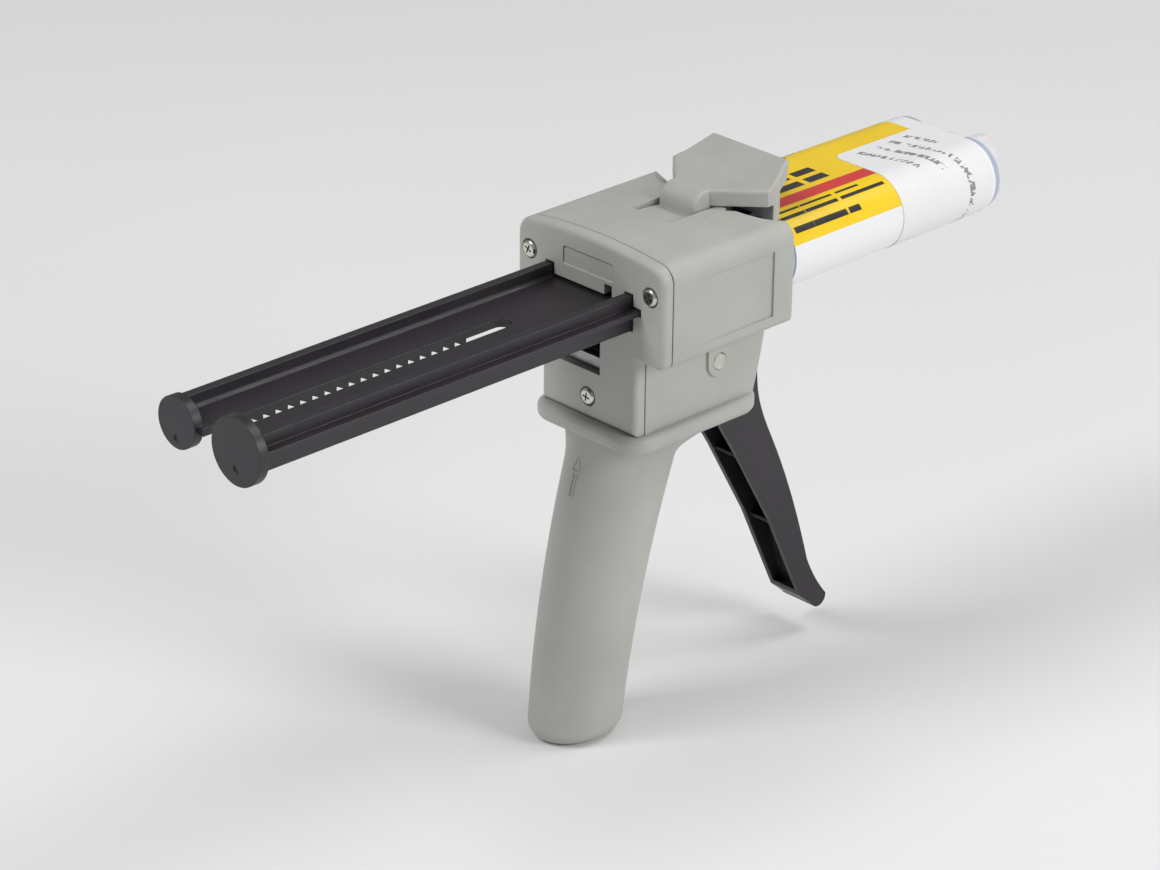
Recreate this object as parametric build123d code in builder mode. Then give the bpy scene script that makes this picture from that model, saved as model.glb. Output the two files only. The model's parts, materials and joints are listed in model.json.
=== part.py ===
"""Two-component dispensing gun with a twin-barrel cartridge, as separate pieces.

Frame: +X forward along the dispensing axis, +Y to the left, +Z up, millimetres.
Origin: middle of the cartridge slot, on the plane where the cartridge flange seats.
"""
from build123d import *
from math import cos, radians, sin
import os

os.makedirs("parts", exist_ok=True)

# ---------------------------------------------------------------- clearances
running_gap = 0.05      # radial, pin in bore
moving_gap = 0.35       # between pieces that move past each other
fixed_gap = 0.15        # between pieces that are bolted or dropped together

# ---------------------------------------------------------------- housing
housing_half_width = 27.4
housing_bottom = -14.0
crown_top = 16.2        # highest line of the arched deck
crown_sag = 2.2         # drop of the arch from the middle to the side walls
deck_corner = 5.0
belly_corner = 2.2
housing_front = 5.0     # front face, ahead of the seat plane
housing_rear = -39.9    # joint with the rear cover
shell_wall = 2.5
seat_wall = 3.0         # wall behind the cartridge flange
panel_depth = 0.5       # recess in each side wall, fading out to the rear
panel_rear = -34.5
panel_front = -2.2
panel_height = 18.6
panel_middle_z = -0.7

# ---------------------------------------------------------------- lower body, collar and grip
lower_half_width = 17.8
collar_half_width = 20.5
collar_top = -35.9
collar_thick = 5.4
collar_rear = -46.6
collar_front = 3.2
collar_corner = 7.0
collar_round = 2.5
flare_reach = 6.0       # how far the grip spreads where it meets the collar
flare_height = 10.0
flare_forward = 0.87    # share of the spread that goes forward, as the collar ends close behind
grip_top = -38.0
grip_bottom = -128.5
grip_depth_top = 33.8   # front to back
grip_depth_bottom = 28.4
grip_flatness = 0.8     # width over depth of the oval
grip_x_top = -27.0      # middle of the oval under the collar
grip_lean = 20.4        # how far the foot stands behind the top
grip_bow = 12.7
grip_wall = 2.6
grip_foot_round = 4.5
trigger_slot_half = 6.5
slot_rear = -16.8       # rear of the trigger slot through the collar
slot_rear_low = -14.6   # and further down, in the grip
slot_low = -66.0
arrow_tip = -45.2
arrow_head_low = -50.4
arrow_low = -57.2
arrow_head_half = 1.7
arrow_shaft_half = 0.75
arrow_line = 0.35
arrow_proud = 0.25

# ---------------------------------------------------------------- rear cover
cover_thick = 3.5
cover_gap = 0.4         # visible line between the cover and the housing
cover_round = 1.6
screw_top_y = 22.6
screw_top_z = 6.0
screw_low_z = -29.5
screw_head_radius = 2.45
screw_head_tall = 1.6
screw_shank_radius = 1.45
screw_length = 14.0
boss_wall = 1.6
screw_sink = 0.9
screw_seat_gap = 0.35
web_opening_gap = 0.8   # over the plunger's web
window_middle_y = 3.6
window_width = 16.0
window_bottom = -22.2
badge_width = 18.8      # plain sunk panel above the opening
badge_height = 5.0
badge_depth = 0.35
badge_z = 8.3

# ---------------------------------------------------------------- cartridge
barrel_spacing = 22.6
bore_radius = 9.6
barrel_radius_rear = 10.9
barrel_radius_front = 10.4
cartridge_length = 96.0
end_wall = 1.6
barrel_end_round = 0.9
flange_radius = 12.3
flange_middle = barrel_spacing / 2 + 0.6    # where the flange's round ends are centred
flange_thick = 3.0
label_thick = 0.25
label_start = 11.8
label_end = 93.4
sticker_thick = 0.2
sticker_start = 54.8
sticker_end = 92.0
sticker_far_edge = 4.8  # the sticker covers the top up to here
sticker_corner = 3.0
sticker_near_edge = -14.0   # beyond this it also wraps below sticker_low
sticker_low = 2.0
neck_radius = 5.4
neck_length = 5.0
outlet_radius = 1.6
outlet_middle = 2.6     # each outlet from the axis
lug_radius = 6.2
cap_radius = 7.6
cap_tip_radius = 3.8
cap_tip_x = 106.4
plug_radius = 4.9
wing_thick = 1.8
nub_radius = 1.2
piston_length = 7.0
piston_gap = 0.1

# ---------------------------------------------------------------- plunger
disc_gap = 0.45         # radial, push disc in the cartridge bore
disc_spacing = barrel_spacing
disc_radius = bore_radius - disc_gap
small_disc_radius = 7.0
disc_thick = 2.8
fork_length = 101.0     # open slot at each end, disc face to the slot's round end
solid_length = 44.5     # web between the two forks
disc_front = 73.0       # front face of the front discs at rest
slot_half = 2.65
web_top = 0.9
web_thick = 2.2
web_blend = 1.2        # hollow corner between web and fin
fin_inner = 13.5
fin_outer = 16.1
fin_top = 4.6
fin_bottom = -5.3
rib_outer = 19.0
rib_top = 1.2
rib_bottom = -0.3
tooth_pitch = 4.0
tooth_count = 21
tooth_depth = 2.0
tooth_start = 4.4       # first tooth behind the disc face
rack_width = 3.0

# ---------------------------------------------------------------- latch
latch_pin_x = -7.2
latch_pin_z = 12.5
latch_pin_radius = 1.5
knuckle_half_width = 6.5
knuckle_round = 4.8
latch_top = 21.0        # flat top of the latch plate
latch_thick = 2.4
latch_wide_half = 17.8
latch_wide_x = 4.8      # where the plate is widest
latch_bend_x = 6.6      # where the tab starts to rise
tab_x = 17.4
tab_half = 13.7
tab_top = 26.5
latch_bend_round = 14.0
tab_low_x = 15.8        # lower edge of the tab's front face
tab_low = 20.4
post_rear = 7.3
post_front = 11.3
post_bottom = 9.4
post_wide = 4.2
skirt_bottom = 16.4
latch_wall = 2.4
latch_edge_round = 0.9
heel_x = -20.4
pocket_rear = -21.1

# ---------------------------------------------------------------- trigger and pawls
trigger_pin_x = -12.8
trigger_pin_z = -22.7
trigger_pin_radius = 2.4
pin_stand_out = 0.25
pin_boss_radius = 4.3
pin_boss_tall = 0.7
trigger_half_width = 5.9
flange_wall = 1.6
pawl_arm = 12.0         # from the trigger pin up to the drive pawl pin
pawl_pin_radius = 1.5
pawl_thick = 4.2
pawl_y = -3.1           # middle of both pawls, under the driving rack
pawl_tip_z = -3.75
hold_pin_x = -25.0
hold_pin_z = -11.2
hold_pin_half = 14.0    # half length of the holding pawl's pin
hold_rib_inner = 12.2   # inner face of the ribs that carry it
drive_pin_right = 8.8   # the drive pawl's pin stands out this far to the right
lever_sheet = 1.2
lever_left = 10.6       # left edge of the release lever
lever_width = 13.6
tab_rear = -41.8        # thumb lip of the lever, in the cover's window
tab_z = -19.8
lip_height = 3.0
lever_bend_x = -37.0
lever_knee = (-31.0, -17.0)     # where the strip turns up to the pin
lever_arm_step = 9.4    # between the two arms that reach the pin


def label_and_write(piece, name):
    """Name a finished piece and write its file."""
    piece.part.label = name
    export_step(piece.part, f"parts/{name}.step")


def stadium(middle, radius):
    """Flat-sided oval: two round ends centred at +middle and -middle."""
    with Locations((middle, 0), (-middle, 0)):
        Circle(radius)
    Rectangle(2 * middle, 2 * radius)


def crowned_face(sketch, inset):
    """Housing section with its arched deck, drawn smaller by inset."""
    half = housing_half_width - inset
    top = crown_top - inset
    low = housing_bottom + inset
    side_top = top - crown_sag
    with BuildLine() as outline:
        Polyline((half, side_top), (half, low), (-half, low), (-half, side_top))
        ThreePointArc((-half, side_top), (0, top), (half, side_top))
    make_face(outline.edges())
    fillet(sketch.vertices().group_by(Axis.Y)[-1], deck_corner - inset)
    fillet(sketch.vertices().group_by(Axis.Y)[0], belly_corner)


# ================================================================ main body
grip_steps = (0, 0.25, 0.5, 0.75, 1)


def grip_middle(share):
    """Fore-and-aft middle of the grip, from its top (0) to its foot (1)."""
    return grip_x_top - grip_lean * share - grip_bow * share * (1 - share)


def grip_height(share):
    return grip_top + (grip_bottom - grip_top) * share


def grip_share(height):
    return (height - grip_top) / (grip_bottom - grip_top)


def grip_radii(share, inset):
    depth = grip_depth_top + (grip_depth_bottom - grip_depth_top) * share
    return depth / 2 - inset, depth / 2 * grip_flatness - inset


flange_front = flange_thick + fixed_gap
barrel_hole = barrel_radius_rear + 0.5
pocket_half = knuckle_half_width + moving_gap + 0.35
opening_waist_x = latch_pin_x - 0.3
opening_step = (-2.5, 12.4)
opening_front_half = 17.2
opening_inner_half = 14.05
ramp_start = -2.5
ramp_low = 11.7
ramp_high = 14.1
cheek_thick = 3.0
far = 60.0              # large enough to cut right through

with BuildPart() as grip_flare:
    # The grip's hollow sweep up to the collar.
    for share in (0, 0.12, 0.28, 0.5, 0.75, 1):
        height = collar_top - collar_thick + 0.6 - flare_height * share
        spread = flare_reach * (1 - sin(radians(90 * share))) + 0.01
        deep, wide = grip_radii(grip_share(height), -spread)
        with BuildSketch(Plane.XY.offset(height)):
            with Locations((grip_middle(grip_share(height)) + flare_forward * spread, 0)):
                Ellipse(deep, wide)
    loft()

with BuildPart() as grip_arrow:
    # Raised outline arrow down the back of the grip.
    for share in (0, 0.25, 0.5, 0.75, 1):
        with BuildSketch(Plane.XY.offset(grip_height(share))):
            deep, wide = grip_radii(share, -arrow_proud)
            with Locations((grip_middle(share), 0)):
                Ellipse(deep, wide)
    loft()
    with BuildSketch(Plane.YZ.offset(-far)) as arrow_outline:
        for inset, mode in ((0, Mode.ADD), (arrow_line, Mode.SUBTRACT)):
            with BuildLine() as arrow_head:
                Polyline(
                    (0, arrow_tip - 2.4 * inset), (arrow_head_half - 1.6 * inset, arrow_head_low + inset),
                    (-arrow_head_half + 1.6 * inset, arrow_head_low + inset), close=True,
                )
            make_face(arrow_head.edges(), mode=mode)
        with Locations((0, (arrow_head_low + arrow_low) / 2)):
            Rectangle(2 * arrow_shaft_half, arrow_head_low - arrow_low)
            Rectangle(2 * (arrow_shaft_half - arrow_line), arrow_head_low - arrow_low - 2 * arrow_line,
                      mode=Mode.SUBTRACT)
    extrude(amount=far / 2, mode=Mode.INTERSECT)

with BuildPart() as main_body:
    # Upper housing.
    with BuildSketch(Plane.YZ.offset(housing_rear)) as housing_outline:
        crowned_face(housing_outline, 0)
    extrude(amount=housing_front - housing_rear)
    # Lower body: side profile with its hollowed front edge.
    with BuildSketch(Plane.XZ) as lower_outline:
        with BuildLine():
            Polyline(
                (0.6, collar_top - 2),
                (housing_rear, collar_top - 2),
                (housing_rear, housing_bottom + 1),
                (housing_front - 0.2, housing_bottom + 1),
                (housing_front - 0.2, housing_bottom - 6),
            )
            ThreePointArc(
                (housing_front - 0.2, housing_bottom - 6),
                (2.3, collar_top + 4.4),
                (0.6, collar_top - 2),
            )
        make_face()
    extrude(amount=lower_half_width, both=True)
    # Collar.
    collar_middle = (collar_rear + collar_front) / 2
    with BuildSketch(Plane.XY.offset(collar_top - collar_thick)):
        with Locations((collar_middle, 0)):
            RectangleRounded(collar_front - collar_rear, 2 * collar_half_width, collar_corner)
    extrude(amount=collar_thick)
    for height, radius in ((collar_top - collar_thick, collar_round), (collar_top, collar_round - 0.6)):
        rim = main_body.faces().filter_by(Plane.XY).filter_by(
            lambda face: abs(face.center().Z - height) < 0.01)
        fillet(rim[0].outer_wire().edges(), radius)
    # Grip: a leaning oval that flares into the collar.
    for share in grip_steps:
        with BuildSketch(Plane.XY.offset(grip_height(share))):
            deep, wide = grip_radii(share, 0)
            with Locations((grip_middle(share), 0)):
                Ellipse(deep, wide)
    loft()
    fillet(main_body.faces().sort_by(Axis.Z)[0].edges(), grip_foot_round)
    add(grip_flare.part)
    add(grip_arrow.part)

    # Hollow of the housing, closed in front by the seat wall.
    with BuildSketch(Plane.YZ.offset(housing_rear)) as hollow_outline:
        crowned_face(hollow_outline, shell_wall)
    extrude(amount=-housing_rear - seat_wall, mode=Mode.SUBTRACT)
    # Hollow of the lower body.
    with BuildSketch(Plane.XZ):
        with BuildLine():
            Polyline(
                (housing_rear, collar_top + 1.5),
                (housing_rear, housing_bottom + shell_wall + 1),
                (-seat_wall, housing_bottom + shell_wall + 1),
                (-seat_wall, housing_bottom - 6),
                (-seat_wall - 2, collar_top + 1.5),
                close=True,
            )
        make_face()
    extrude(amount=lower_half_width - shell_wall, both=True, mode=Mode.SUBTRACT)
    # Hollow of the grip, with a throat up into the lower body.
    for share in (0.1, 0.35, 0.6, 0.8, 0.965):
        with BuildSketch(Plane.XY.offset(grip_height(share))):
            deep, wide = grip_radii(share, grip_wall)
            with Locations((grip_middle(share), 0)):
                Ellipse(deep, wide)
    loft(mode=Mode.SUBTRACT)
    with BuildSketch(Plane.XY.offset(collar_top + 2)):
        with Locations((grip_middle(0) - 2, 0)):
            Ellipse(9, 8)
    extrude(amount=-14, mode=Mode.SUBTRACT)

    # Seat wall: the plunger passes through, the cartridge flange drops in front.
    with BuildSketch(Plane.YZ.offset(-seat_wall - 1)):
        with Locations((barrel_spacing / 2, 0), (-barrel_spacing / 2, 0)):
            Circle(bore_radius + 0.3)
        with Locations((0, -2.2)):
            Rectangle(barrel_spacing / 2, 18.4)
    extrude(amount=seat_wall + 2, mode=Mode.SUBTRACT)
    with BuildSketch(Plane.YZ):
        stadium(flange_middle, flange_radius + fixed_gap)
    extrude(amount=flange_front, mode=Mode.SUBTRACT)
    # Front frame: open above the lip, and round the barrels below it.
    with BuildSketch(Plane.YZ.offset(flange_front - 0.5)) as frame_hole:
        stadium(flange_middle, flange_radius + fixed_gap)
        with Locations((0, -flange_radius)):
            Rectangle(far * 2, 2 * flange_radius - 6, mode=Mode.SUBTRACT)
        with Locations((barrel_spacing / 2, 0), (-barrel_spacing / 2, 0)):
            Circle(barrel_hole)
    extrude(amount=housing_front, mode=Mode.SUBTRACT)

    # Ramp at the front of the deck, lower in the middle than at the horns.
    for x, low, high, edge in (
        (ramp_start - 0.6, crown_top, crown_top, crown_top),
        (housing_front + 0.1, ramp_low, ramp_high, ramp_high + 3),
    ):
        with BuildSketch(Plane.YZ.offset(x)):
            with BuildLine():
                Polyline(
                    (-far / 2, edge), (-23.5, high), (-17.2, low), (17.2, low),
                    (23.5, high), (far / 2, edge), (far / 2, 25), (-far / 2, 25), close=True,
                )
            make_face()
    loft(ruled=True, mode=Mode.SUBTRACT)
    # Opening in the deck for the latch: pocket, diagonal sides, open front.
    with BuildSketch(Plane.XY.offset(latch_pin_z - 6)):
        with BuildLine():
            Polyline(
                (pocket_rear, -pocket_half), (opening_waist_x, -pocket_half),
                (opening_step[0], -opening_step[1]), (0.05, -opening_inner_half), (0.05, opening_inner_half),
                (opening_step[0], opening_step[1]), (opening_waist_x, pocket_half),
                (pocket_rear, pocket_half), close=True,
            )
        make_face()
    extrude(amount=20, mode=Mode.SUBTRACT)
    with BuildSketch(Plane.XY.offset(4)):
        with BuildLine():
            Polyline(
                (0, -opening_inner_half), (housing_front + 1, -opening_front_half - 0.6),
                (housing_front + 1, opening_front_half + 0.6), (0, opening_inner_half), close=True,
            )
        make_face()
    extrude(amount=20, mode=Mode.SUBTRACT)
    # Cheeks beside the pocket that carry the latch pin.
    with BuildSketch(Plane.XZ.offset(-pocket_half)):
        with Locations((latch_pin_x, latch_pin_z - 1)):
            Rectangle(8, 9)
    cheek = extrude(amount=-cheek_thick)
    mirror(cheek, about=Plane.XZ)
    with BuildSketch(Plane.XZ):
        with Locations((latch_pin_x, latch_pin_z)):
            Circle(latch_pin_radius + running_gap)
    extrude(amount=pocket_half + cheek_thick + 0.2, both=True, mode=Mode.SUBTRACT)

    # Slot for the trigger through the front of the lower body and the collar.
    with BuildSketch(Plane.XZ):
        with BuildLine():
            Polyline(
                (slot_rear, housing_bottom - 1.0), (far, housing_bottom - 1.0), (far, slot_low),
                (slot_rear_low, slot_low), (slot_rear_low, -44), (slot_rear, -42), close=True,
            )
        make_face()
    extrude(amount=trigger_slot_half, both=True, mode=Mode.SUBTRACT)

    # Screw bosses for the rear cover.
    for y, z, length in (
        (screw_top_y, screw_top_z, screw_length), (-screw_top_y, screw_top_z, screw_length),
        (0, screw_low_z, screw_length - 4),
    ):
        with BuildSketch(Plane.YZ.offset(housing_rear)):
            with Locations((y, z)):
                Circle(screw_shank_radius + boss_wall)
            with Locations((y * 1.06, z - 3)):
                Rectangle(2.4, 8)
        extrude(amount=length)
        with BuildSketch(Plane.YZ.offset(housing_rear - 1)):
            with Locations((y, z)):
                Circle(screw_shank_radius + running_gap)
        extrude(amount=length + 0.5, mode=Mode.SUBTRACT)

    # Trigger pin bosses outside, and the bore through both walls.
    for side in (1, -1):
        with BuildSketch(Plane.XZ.offset(-side * (lower_half_width - 1))):
            with Locations((trigger_pin_x, trigger_pin_z)):
                Circle(pin_boss_radius)
            with Locations((trigger_pin_x, (trigger_pin_z + housing_bottom) / 2 + 0.5)):
                Rectangle(2 * pin_boss_radius, housing_bottom - trigger_pin_z + 1)
        extrude(amount=-side * (1 + pin_boss_tall))
    with BuildSketch(Plane.XZ):
        with Locations((trigger_pin_x, trigger_pin_z)):
            Circle(trigger_pin_radius + running_gap)
    extrude(amount=far / 2, both=True, mode=Mode.SUBTRACT)
    # Inner ribs that carry the holding pawl's pin.
    for side in (1, -1):
        with BuildSketch(Plane.XZ.offset(-side * hold_rib_inner)):
            with Locations((hold_pin_x, hold_pin_z - 4)):
                Rectangle(8, 14)
        extrude(amount=-side * (lower_half_width - hold_rib_inner - 1))
    with BuildSketch(Plane.XZ):
        with Locations((hold_pin_x, hold_pin_z)):
            Circle(pawl_pin_radius + running_gap)
    extrude(amount=hold_pin_half, both=True, mode=Mode.SUBTRACT)

    # Shallow panels in the side walls.
    for side in (1, -1):
        with BuildSketch(Plane.XY.offset(panel_middle_z - panel_height / 2)):
            with BuildLine():
                Polyline(
                    (panel_rear, side * (housing_half_width + 0.01)),
                    (panel_front, side * (housing_half_width - panel_depth)),
                    (panel_front, side * (housing_half_width + 1)),
                    (panel_rear, side * (housing_half_width + 1)), close=True,
                )
            make_face()
        extrude(amount=panel_height, mode=Mode.SUBTRACT)
label_and_write(main_body, "main_body")

# ================================================================ rear cover
cover_front = housing_rear - cover_gap
cover_rear = cover_front - cover_thick
with BuildPart() as rear_cover:
    with BuildSketch(Plane.YZ.offset(cover_rear)) as cover_outline:
        crowned_face(cover_outline, 0)
        with Locations((0, (collar_top + housing_bottom) / 2 + 1)):
            Rectangle(2 * lower_half_width, housing_bottom - collar_top + 2 - fixed_gap)
    extrude(amount=cover_thick)
    fillet(rear_cover.faces().sort_by(Axis.X)[0].outer_wire().edges(), cover_round)
    # Opening shaped to the plunger: web, fins and side ribs.
    with BuildSketch(Plane.YZ.offset(cover_rear - 1)):
        with Locations((0, (web_top + web_opening_gap + fin_bottom - moving_gap) / 2)):
            Rectangle(2 * (fin_inner + 0.5), web_top + web_opening_gap - fin_bottom + moving_gap)
        for side in (1, -1):
            with Locations((side * (fin_inner + fin_outer) / 2, (fin_top + fin_bottom) / 2)):
                Rectangle(fin_outer - fin_inner + 2 * moving_gap,
                          fin_top - fin_bottom + 2 * moving_gap)
            with Locations((side * (rib_outer - 1.5), (rib_top + rib_bottom) / 2)):
                Rectangle(3 + 2 * moving_gap, rib_top - rib_bottom + 2 * moving_gap)
        with Locations((-7.1, 2.8)):
            Rectangle(2.8, 3.8)
        with Locations((window_middle_y, (fin_bottom + window_bottom) / 2 + 0.2)):
            Rectangle(window_width, fin_bottom - window_bottom)
    extrude(amount=cover_thick + 2, mode=Mode.SUBTRACT)
    # Screw holes with seats for the pan heads.
    for y, z in ((screw_top_y, screw_top_z), (-screw_top_y, screw_top_z), (0, screw_low_z)):
        with BuildSketch(Plane.YZ.offset(cover_rear - 1)):
            with Locations((y, z)):
                Circle(screw_shank_radius + fixed_gap)
        extrude(amount=cover_thick + 2, mode=Mode.SUBTRACT)
        with BuildSketch(Plane.YZ.offset(cover_rear - 1)):
            with Locations((y, z)):
                Circle(screw_head_radius + screw_seat_gap)
        extrude(amount=1 + screw_sink, mode=Mode.SUBTRACT)
    # Plain shallow panel above the opening.
    with BuildSketch(Plane.YZ.offset(cover_rear - 1)):
        with Locations((0.5, badge_z)):
            RectangleRounded(badge_width, badge_height, 0.8)
    extrude(amount=1 + badge_depth, mode=Mode.SUBTRACT)
label_and_write(rear_cover, "rear_cover")

# ================================================================ cover screws
head_face = cover_rear + screw_sink - screw_head_tall
with BuildPart() as cover_screws:
    for y, z, length in (
        (screw_top_y, screw_top_z, screw_length), (-screw_top_y, screw_top_z, screw_length),
        (0, screw_low_z, screw_length - 4),
    ):
        with BuildSketch(Plane.YZ.offset(head_face)):
            with Locations((y, z)):
                Circle(screw_head_radius)
        head = extrude(amount=screw_head_tall)
        fillet(head.edges().sort_by(Axis.X)[0], 1.0)
        with BuildSketch(Plane.YZ.offset(head_face + screw_head_tall)):
            with Locations((y, z)):
                Circle(screw_shank_radius)
        extrude(amount=length - 1)
        with BuildSketch(Plane.YZ.offset(head_face - 1)):
            with Locations((y, z)):
                Rectangle(3.4, 0.8)
                Rectangle(0.8, 3.4)
        extrude(amount=1.9, mode=Mode.SUBTRACT)
label_and_write(cover_screws, "cover_screws")

# ================================================================ plunger
disc_rear = disc_front - 2 * fork_length - solid_length
plunger_middle = (disc_front + disc_rear) / 2
web_front = plunger_middle + solid_length / 2


def rail_section():
    """One rail in section: fin, outward rib and the web with its curved blend."""
    with Locations(((fin_inner + fin_outer) / 2, (fin_top + fin_bottom) / 2)):
        Rectangle(fin_outer - fin_inner, fin_top - fin_bottom)
    with Locations(((fin_outer - 0.5 + rib_outer) / 2, (rib_top + rib_bottom) / 2)):
        Rectangle(rib_outer - fin_outer + 0.5, rib_top - rib_bottom)
    with Locations(((slot_half + fin_inner + 0.5) / 2, web_top - web_thick / 2)):
        Rectangle(fin_inner + 0.5 - slot_half, web_thick)
    with BuildLine() as blend:
        Polyline((fin_inner + 0.2, web_top + web_blend), (fin_inner + 0.2, web_top - 0.2),
                 (fin_inner - web_blend, web_top - 0.2), (fin_inner - web_blend, web_top))
        RadiusArc((fin_inner - web_blend, web_top), (fin_inner, web_top + web_blend), -web_blend)
        Line((fin_inner, web_top + web_blend), (fin_inner + 0.2, web_top + web_blend))
    make_face(blend.edges())


with BuildPart() as plunger:
    with BuildSketch(Plane.YZ.offset(disc_rear + disc_thick / 2)) as rails:
        rail_section()
        mirror(about=Plane.YZ)
    extrude(amount=disc_front - disc_rear - disc_thick)
    # Solid web between the forks, each fork ending in a round.
    with BuildSketch(Plane.XY.offset(web_top - web_thick)):
        with Locations((plunger_middle, 0)):
            Rectangle(solid_length + 2 * slot_half, 2 * slot_half + 1)
        with Locations((plunger_middle + solid_length / 2 + slot_half, 0),
                       (plunger_middle - solid_length / 2 - slot_half, 0)):
            Circle(slot_half, mode=Mode.SUBTRACT)
    extrude(amount=web_thick)
    # Racks under the web, one beside each fork, facing opposite ways.
    for turn in (1, -1):
        with BuildSketch(Plane.XZ.offset(turn * (slot_half + rack_width))) as rack:
            for step in range(tooth_count):
                foot = disc_front - tooth_start - step * tooth_pitch
                root = web_top - web_thick + 0.1
                foot = plunger_middle + turn * (foot - plunger_middle)
                with BuildLine() as tooth:
                    Polyline(
                        (foot, root), (foot - turn * tooth_pitch, root),
                        (foot - turn * tooth_pitch, root - tooth_depth - 0.1), close=True,
                    )
                make_face(tooth.edges())
        extrude(amount=-turn * rack_width)
    # Push discs.
    for x, radii in ((disc_front - disc_thick, (disc_radius, disc_radius)),
                     (disc_rear, (small_disc_radius, disc_radius))):
        with BuildSketch(Plane.YZ.offset(x)):
            with Locations((disc_spacing / 2, 0)):
                Circle(radii[0])
            with Locations((-disc_spacing / 2, 0)):
                Circle(radii[1])
        extrude(amount=disc_thick)
    # Small gate marks low on the outer faces of the rear discs.
    for y, z in ((disc_spacing / 2, -4.2), (-disc_spacing / 2, -4.6)):
        with BuildSketch(Plane.YZ.offset(disc_rear - 0.5)):
            with Locations((y, z)):
                Circle(1.1)
        extrude(amount=0.8, mode=Mode.SUBTRACT)
label_and_write(plunger, "plunger")

# ================================================================ cartridge
with BuildPart() as cartridge_barrels:
    for side in (1, -1):
        for x, radius in ((0, barrel_radius_rear), (cartridge_length, barrel_radius_front)):
            with BuildSketch(Plane.YZ.offset(x)):
                with Locations((side * barrel_spacing / 2, 0)):
                    Circle(radius)
        loft(ruled=True)
    fillet(
        [e for e in cartridge_barrels.edges().filter_by(GeomType.CIRCLE)
         if abs(e.center().X - cartridge_length) < 0.01],
        barrel_end_round,
    )
    with BuildSketch(Plane.YZ):
        stadium(flange_middle, flange_radius)
    extrude(amount=flange_thick)
    # Web between the barrels, low enough to hide under the label.
    with BuildSketch(Plane.YZ):
        Rectangle(6, 5)
    extrude(amount=cartridge_length - 4)
    # Outlet neck with its two bayonet lugs.
    with BuildSketch(Plane.YZ.offset(cartridge_length - 8)):
        Circle(neck_radius)
    extrude(amount=neck_length + 8)
    with BuildSketch(Plane.YZ.offset(cartridge_length + neck_length - 2.0)):
        Circle(lug_radius)
        Rectangle(2 * lug_radius, 2 * lug_radius - 5, mode=Mode.SUBTRACT)
    extrude(amount=1.6)
    # Bores, and the two outlet passages.
    with BuildSketch(Plane.YZ.offset(-1)):
        with Locations((barrel_spacing / 2, 0), (-barrel_spacing / 2, 0)):
            Circle(bore_radius)
    extrude(amount=cartridge_length - end_wall + 1, mode=Mode.SUBTRACT)
    with BuildSketch(Plane.YZ.offset(cartridge_length - end_wall - 1)):
        with Locations((outlet_middle, 0), (-outlet_middle, 0)):
            Circle(outlet_radius)
    extrude(amount=neck_length + 6, mode=Mode.SUBTRACT)
label_and_write(cartridge_barrels, "cartridge_barrels")

barrel_taper = (barrel_radius_front - barrel_radius_rear) / cartridge_length


def wrap_radius(x):
    return barrel_radius_rear + barrel_taper * x + 0.05


with BuildPart() as cartridge_label:
    for extra, mode in ((label_thick, Mode.ADD), (0, Mode.SUBTRACT)):
        for x in (label_start, label_end):
            with BuildSketch(Plane.YZ.offset(x)):
                stadium(barrel_spacing / 2, wrap_radius(x) + extra)
        loft(ruled=True, mode=mode)
label_and_write(cartridge_label, "cartridge_label")

with BuildPart() as cartridge_sticker:
    for extra, mode in ((label_thick + sticker_thick, Mode.ADD), (label_thick + 0.02, Mode.SUBTRACT)):
        for x in (sticker_start, sticker_end):
            with BuildSketch(Plane.YZ.offset(x)):
                stadium(barrel_spacing / 2, wrap_radius(x) + extra)
        loft(ruled=True, mode=mode)
    # Only the near side and part of the top are covered.
    with BuildSketch(Plane.XY.offset(-far / 2)) as sticker_area:
        with Locations(((sticker_start + sticker_end) / 2, (sticker_far_edge - far / 2) / 2)):
            Rectangle(sticker_end - sticker_start, sticker_far_edge + far / 2)
        corner = sticker_area.vertices().sort_by_distance((sticker_start, sticker_far_edge, 0))[0]
        fillet(corner, sticker_corner)
    extrude(amount=far, mode=Mode.INTERSECT)
    with BuildSketch(Plane.YZ.offset(sticker_start - 1)):
        with Locations((far / 2 + sticker_near_edge, sticker_low - far / 2)):
            Rectangle(far, far)
    extrude(amount=far, mode=Mode.SUBTRACT)
label_and_write(cartridge_sticker, "cartridge_sticker")

for name, side in (("piston_left", 1), ("piston_right", -1)):
    with BuildPart() as piston:
        with BuildSketch(Plane.YZ.offset(disc_front + moving_gap)):
            with Locations((side * barrel_spacing / 2, 0)):
                Circle(bore_radius - piston_gap)
        body = extrude(amount=piston_length)
        chamfer(body.edges().sort_by(Axis.X)[-1], 1.2)
        with BuildSketch(Plane.YZ.offset(disc_front + moving_gap + 2.2)):
            with Locations((side * barrel_spacing / 2, 0)):
                Circle(bore_radius)
                Circle(bore_radius - 0.7, mode=Mode.SUBTRACT)
        extrude(amount=1.6, mode=Mode.SUBTRACT)
    label_and_write(piston, name)

# ================================================================ outlet plug and cap
neck_end = cartridge_length + neck_length
with BuildPart() as outlet_plug:
    with BuildSketch(Plane.YZ.offset(neck_end + 0.02)):
        Circle(plug_radius)
    extrude(amount=1.6)
    with BuildSketch(Plane.YZ.offset(neck_end - 3.4)):
        with Locations((outlet_middle, 0), (-outlet_middle, 0)):
            Circle(outlet_radius - running_gap)
    extrude(amount=4)
label_and_write(outlet_plug, "outlet_plug")

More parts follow.
